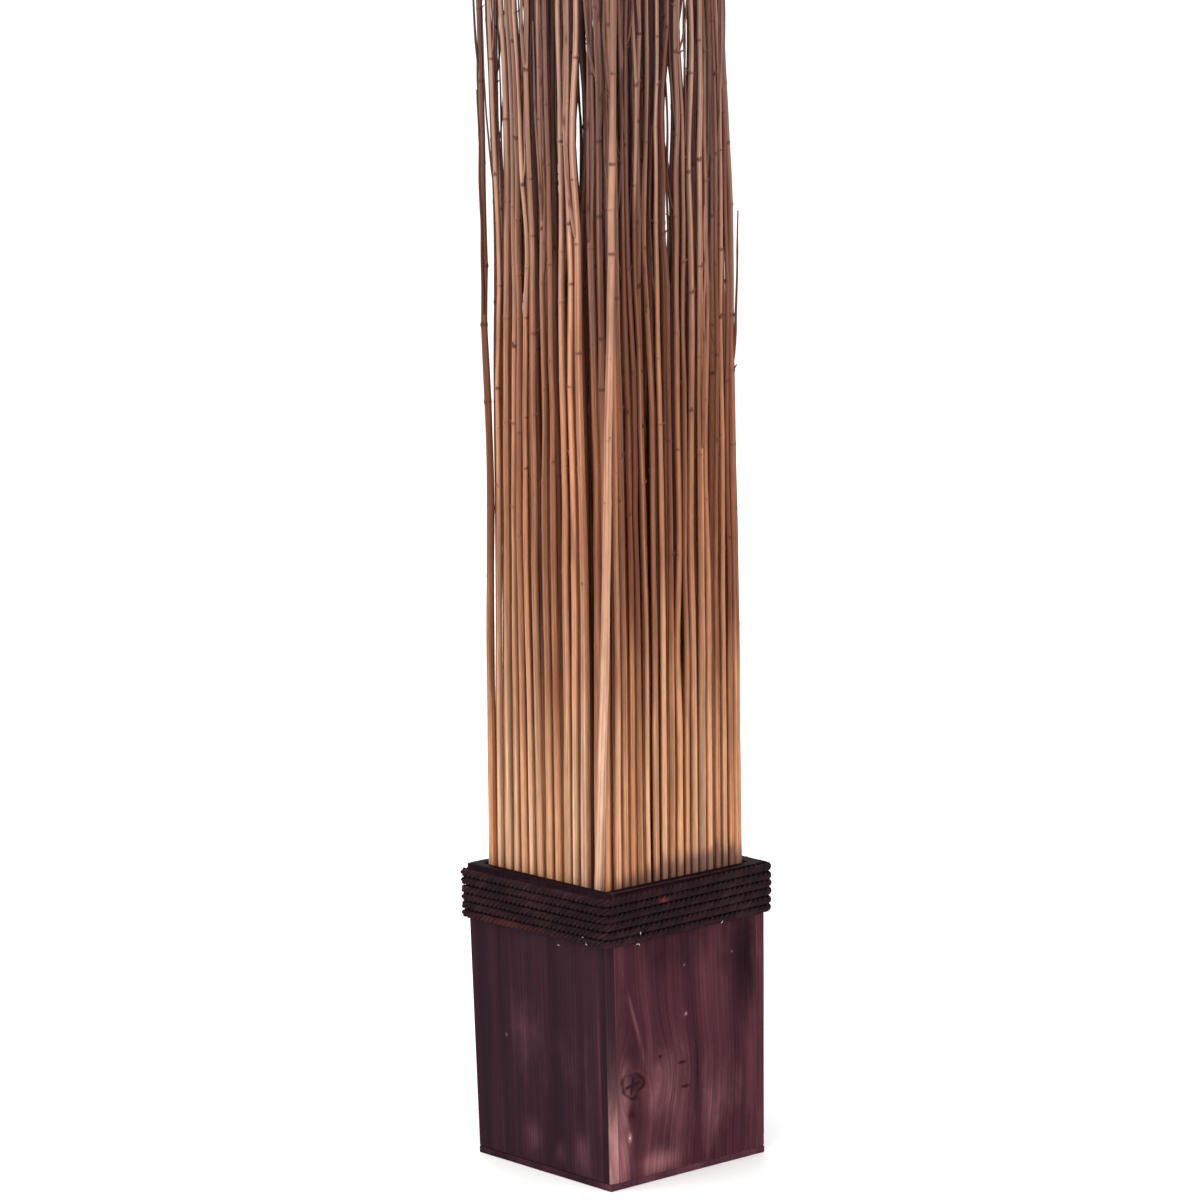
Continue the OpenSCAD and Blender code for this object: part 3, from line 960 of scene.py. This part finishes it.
class Stick:
    """One dried stick grown along its straight CAD axis, with its knuckles, buds and twigs.

    A distance called "at" is from the stick's foot, along it.
    """

    def __init__(self, cone, chance, tone, wander=1.0):
        self.foot, self.tip, self.foot_r, self.tip_r = cone
        self.chance, self.tone = chance, tone
        self.length = np.linalg.norm(self.tip - self.foot)
        self.along = (self.tip - self.foot) / self.length
        self.offset = chance.uniform(0, 9, 3)
        self.pick_wander(wander)
        self.pick_knuckles()
        across = self.course(OPENINGS[:, 1])[:, :2] @ ALONG_OPENINGS
        self.sides = np.where(across < OPENINGS[:, 0], -1.0, 1.0)  # of each opening

    def pick_wander(self, wander):
        """Two slow waves of the stick's own: reach, radians a metre, phase and direction."""
        chance = self.chance
        self.waves = [
            (chance.uniform(0.15, 0.8) * wander * MM, FULL_TURN / chance.uniform(0.18, 0.5),
             chance.uniform(0, 6.28), chance.uniform(0, 6.28))
            for _ in range(2)
        ]
        self.twigginess = TWIG_SHARE * wander

    def pick_knuckles(self):
        """Where the knuckles are along the stick, which way each faces and how big it is."""
        chance = self.chance
        self.knuckles = []
        at = chance.uniform(0.10, 0.30)
        while at < self.length - 0.03:
            z = self.foot[2] + at
            size = chance.uniform(0.45, 1.1) * eased((z - RIM_Z - 0.05) / 0.40)
            self.knuckles.append((at, chance.uniform(0, FULL_TURN), size))
            at += chance.uniform(0.028, 0.085)
        shift = [chance.uniform(-0.9, 0.9, 2) * size * MM for _, _, size in self.knuckles]
        self.kink_at = np.array([0.0, 0.1, *(knuckle[0] for knuckle in self.knuckles)])
        self.kinks = np.array([(0, 0), (0, 0), *shift])

    def course(self, z):
        """Points of the centre line at heights, without the stick's own wander."""
        rise = (z - self.foot[2]) / self.along[2]
        return self.foot + self.along * rise[:, None] + shared_sway(self.foot, z)

    def centre(self, at):
        """Points of the centre line at distances from the foot."""
        z = self.foot[2] + self.along[2] * at
        points = self.course(z)
        free = eased((z - STRAIGHT_TO) / 0.30)
        for reach, rate, phase, way in self.waves:
            bend = free * reach * np.sin(z * rate + phase)
            points[:, 0] += bend * math.cos(way)
            points[:, 1] += bend * math.sin(way)
        points[:, :2] += parted(points, 0.66 * self.foot_r, self.sides)
        for axis in range(2):
            points[:, axis] += np.interp(at, self.kink_at, self.kinks[:, axis])
        return points

    def radius(self, at):
        return self.foot_r + (self.tip_r - self.foot_r) * at / self.length

    def rings(self):
        """Distances along the stick of its rings, which are closer together at knuckles."""
        even = np.linspace(0, self.length, round(self.length / RING_GAP))
        extra = [at + KNUCKLE_RINGS for at, _, size in self.knuckles if size > 0.08]
        at = np.sort(np.concatenate([even, *extra]))
        return at[np.concatenate([[True], np.diff(at) > 0.3 * MM])]

    def add_to(self, soup):
        """Add the stick itself, its buds and its twigs."""
        at = self.rings()
        centres = self.centre(at)
        angle = angles(STICK_SIDES)
        mark = np.zeros((len(at), STICK_SIDES))
        for knuckle_at, facing, size in self.knuckles:
            near = np.exp(-((at - knuckle_at) / KNUCKLE_REACH) ** 2)[:, None]
            mark += size * near * (0.72 + 0.28 * np.cos(angle - facing))
        uneven = 1 + 0.035 * np.sin(2 * angle + self.offset[0]) \
            + 0.03 * np.sin(at * 70 + self.offset[1])[:, None]
        radii = self.radius(at)[:, None] * uneven * (1 + KNUCKLE_SWELL * mark)
        self.skin(soup, centres, radii, at, mark, STICK_SIDES)
        for knuckle in self.knuckles:
            self.add_bud(soup, *knuckle)
        self.add_twigs(soup)

    def skin(self, soup, centres, radii, at, knuckle, sides, browner=0.0):
        """Add a tube of bark, with the values that its material reads."""
        rings = len(centres)
        angle = angles(sides)
        bark = np.stack([
            radii * np.cos(angle), radii * np.sin(angle), np.repeat(at[:, None], sides, axis=1),
        ], axis=2) + self.offset
        soup.add_tube(
            tube_points(centres, radii, ACROSS, sides),
            bark=bark.reshape(-1, 3),
            tone=np.full(rings * sides, min(1.0, self.tone + browner)),
            rise=np.repeat(centres[:, 2] - RIM_Z, sides),
            knuckle=np.broadcast_to(knuckle, (rings, sides)).ravel(),
        )

    def add_bud(self, soup, at, facing, size):
        """A small pointed bud on a knuckle."""
        if size < 0.3 or self.chance.random() < 0.3:
            return
        base = self.centre(np.array([at]))[0]
        out = outward(facing)
        share = np.array([0.0, 0.35, 0.7, 1.0])
        reach = self.chance.uniform(2.0, 4.4) * MM * (0.5 + 0.5 * size)
        lift = share * reach * self.chance.uniform(0.5, 1.3)
        out_by = self.radius(at) * 0.6 + share * reach
        centres = base + out * out_by[:, None] + self.along * lift[:, None]
        radii = np.array([1.0, 0.9, 0.62, 0.2]) * self.chance.uniform(0.5, 0.85) * MM
        self.skin(soup, centres, radii[:, None], at + lift, 0.6, TWIG_SIDES)

    def add_twigs(self, soup):
        """Side twigs that leave a knuckle and soon run beside the stick."""
        for at, facing, size in self.knuckles:
            z = self.foot[2] + at
            likely = self.twigginess * eased((z - 0.40) / 0.4)
            if self.chance.random() > likely or size < 0.2:
                continue
            reach = min(self.chance.uniform(0.07, 0.30), TOP_Z - 4 * MM - z)
            if reach > 25 * MM:
                self.add_twig(soup, at, facing, reach)

    def add_twig(self, soup, at, facing, reach):
        """A twig that leaves the stick in a short bend and runs up beside it."""
        chance = self.chance
        run = np.linspace(0, reach, max(5, round(reach / (9 * MM))))
        beside = self.centre(at + run)
        gap = chance.uniform(2.5, 6.5) * MM
        drift = chance.uniform(-0.01, 0.04)
        out_by = gap * (1 - np.exp(-run / (14 * MM))) + drift * run
        ripple = chance.uniform(0.2, 0.7) * MM * np.sin(run * chance.uniform(50, 130))
        side = outward(facing + math.pi / 2)
        centres = beside + outward(facing) * out_by[:, None] + side * ripple[:, None]
        thick = self.radius(at) * chance.uniform(0.42, 0.62)
        radii = thick * (1 - 0.62 * run / reach)
        from_joint = np.mod(run, TWIG_JOINT_GAP) - TWIG_FIRST_JOINT
        radii *= 1 + 0.22 * np.exp(-(from_joint / (2.5 * MM)) ** 2)
        mark = 0.7 * np.exp(-(from_joint / (4 * MM)) ** 2)[:, None]
        self.skin(soup, centres, radii[:, None], at + run, mark, TWIG_SIDES, browner=0.25)


def place_sticks(node, number, material, tones, wander=1.0):
    """Grow every stick of a CAD node in detail, as one piece."""
    soup = Soup()
    for index, cone in enumerate(sticks_of(node)):
        chance = np.random.default_rng([number, index])
        Stick(cone, chance, chance.uniform(*tones), wander).add_to(soup)
    attach(soup.build(node + "_grown", material), "stick_bundle", node)


place_sticks("tall_corner_stick", 1, pale_bark, (0.1, 0.2), 0.35)
for side_number, side in enumerate(SIDES):
    outer_tones = (0.3, 1.0) if side == "right" else (0.0, 0.9)
    for group in (1, 2, 3):
        place_sticks(f"{side}_outer_sticks_{group}", 100 + 10 * side_number + group,
                     outer_bark, outer_tones)
    for group in (1, 2):
        place_sticks(f"{side}_middle_sticks_{group}", 200 + 10 * side_number + group,
                     inner_bark, (0.0, 1.0))
    place_sticks(f"{side}_inner_sticks", 300 + side_number, inner_bark, (0.2, 1.0))


# ---------- fasteners, in their CAD shape ----------

for node in ("rope_staples", "corner_brads", "bottom_brads"):
    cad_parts[node].data.materials.clear()
    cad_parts[node].data.materials.append(steel)


# ---------- floor and light ----------

def make_floor():
    """A wide level sheet of white paper."""
    cells, half_width = 24, 60.0
    line = np.linspace(-half_width, half_width, cells + 1)
    x, y = np.meshgrid(line, line, indexing="ij")
    points = np.stack([x.ravel(), y.ravel(), np.zeros(x.size)], axis=1)
    i, j = (grid.ravel() for grid in np.meshgrid(range(cells), range(cells), indexing="ij"))
    first = i * (cells + 1) + j
    quads = np.stack([first, first + cells + 1, first + cells + 2, first + 1], axis=1)
    soup = Soup()
    soup.add(points, quads)
    paper = Paint("white_paper", Roughness=0.9, Specular_IOR_Level=0.1)
    faint = paper.noise(paper.place(), 220, 4.0)
    colour = paper.mix(paper.span(faint, 0.3, 0.7), linear(252, 252, 252), linear(255, 255, 255))
    paper.put(paper.shader.inputs["Base Color"], colour)
    soup.build("floor", paper.material)


def direction(azimuth, elevation):
    """Unit vector towards a place round the object; azimuth 0 is the front, 90 the right."""
    az, el = math.radians(azimuth), math.radians(elevation)
    return Vector((math.sin(az) * math.cos(el), -math.cos(az) * math.cos(el), math.sin(el)))


LIGHTS_AIM_AT = Vector((0, 0, 0.45))


def place_light(data, azimuth, elevation, distance):
    light = bpy.data.objects.new(data.name, data)
    back = direction(azimuth, elevation)
    light.location = LIGHTS_AIM_AT + back * distance
    light.rotation_mode = "QUATERNION"
    light.rotation_quaternion = (-back).to_track_quat("-Z", "Y")
    bpy.context.scene.collection.objects.link(light)


def soft_sun(name, azimuth, elevation, strength, spread, colour):
    """A key light that is even over the whole floor, with soft shadows."""
    data = bpy.data.lights.new(name, "SUN")
    data.energy, data.angle, data.color = strength, math.radians(spread), colour
    place_light(data, azimuth, elevation, 4)


def soft_box(name, azimuth, elevation, distance, size, power):
    data = bpy.data.lights.new(name, "AREA")
    data.shape, data.size, data.energy = "SQUARE", size, power
    place_light(data, azimuth, elevation, distance)


def make_world(strength):
    world = bpy.data.worlds.new("white_room")
    world.use_nodes = True
    background = world.node_tree.nodes["Background"]
    background.inputs["Color"].default_value = (1, 1, 1, 1)
    background.inputs["Strength"].default_value = strength
    bpy.context.scene.world = world


make_floor()
soft_sun("key", 0, 38, 1.8, 75, (1.0, 0.985, 0.96))
soft_box("fill", 84, 20, 3.4, 2.4, 50)
soft_box("back", 235, 35, 3.4, 1.6, 40)
make_world(0.85)
bpy.context.scene.view_settings.view_transform = "Standard"
